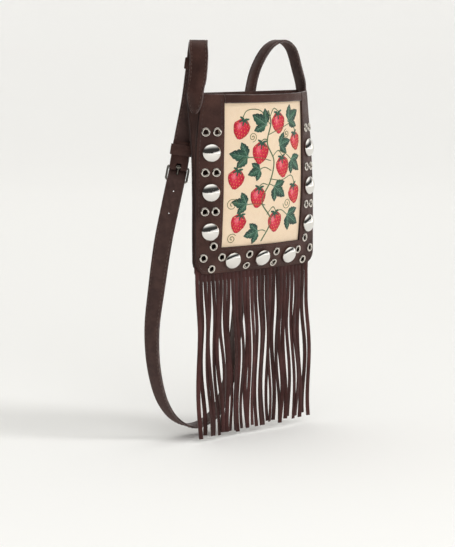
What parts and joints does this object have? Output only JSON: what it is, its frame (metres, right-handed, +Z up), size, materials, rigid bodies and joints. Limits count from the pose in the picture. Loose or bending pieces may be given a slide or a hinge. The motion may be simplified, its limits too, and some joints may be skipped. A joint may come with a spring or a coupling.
{
  "type": "embroidered crossbody bag",
  "caption": "Small flat crossbody bag of brown leather with an embroidered cloth panel, domed studs, eyelets, a long fringe and a buckled strap, shown hanging.",
  "frame": {"origin": "midway between the strap's two crests, at the height of the faces that hang over a rail, on the bag's middle line", "axes": "+Z up, the front with the embroidery faces -Y, +X to the right of someone who looks at the front"},
  "size_m": [0.1881, 0.0684, 0.3931],
  "materials": {
    "brown_leather": "smooth satin grain",
    "fringe_leather": "soft matt nappa",
    "embroidered_cloth": "cream plain weave with coloured thread",
    "nickel": "polished nickel plate",
    "gunmetal": "dark polished nickel"
  },
  "bodies": {
    "root": {"front_frame": "brown_leather", "top_band": "brown_leather", "back_panel": "brown_leather", "gusset": "brown_leather", "strap_short": "brown_leather", "strap_long": "brown_leather", "buckle_keeper": "brown_leather", "crest_keeper": "brown_leather", "fringe": "fringe_leather", "embroidered_panel": "embroidered_cloth", "stud_1": "nickel", "stud_2": "nickel", "stud_3": "nickel", "stud_4": "nickel", "stud_5": "nickel", "stud_6": "nickel", "stud_7": "nickel", "stud_8": "nickel", "stud_9": "nickel", "eyelet_1": "nickel", "eyelet_2": "nickel", "eyelet_3": "nickel", "eyelet_4": "nickel", "eyelet_5": "nickel", "eyelet_6": "nickel", "eyelet_7": "nickel", "eyelet_8": "nickel", "eyelet_9": "nickel", "eyelet_10": "nickel", "eyelet_11": "nickel", "eyelet_12": "nickel", "eyelet_13": "nickel", "eyelet_14": "nickel", "eyelet_15": "nickel", "eyelet_16": "nickel", "eyelet_17": "nickel", "eyelet_18": "nickel", "eyelet_19": "nickel", "eyelet_20": "nickel", "eyelet_21": "nickel", "eyelet_22": "nickel", "eyelet_23": "nickel", "eyelet_24": "nickel", "buckle_frame": "gunmetal", "buckle_prong": "gunmetal"}
  },
  "joints": []
}
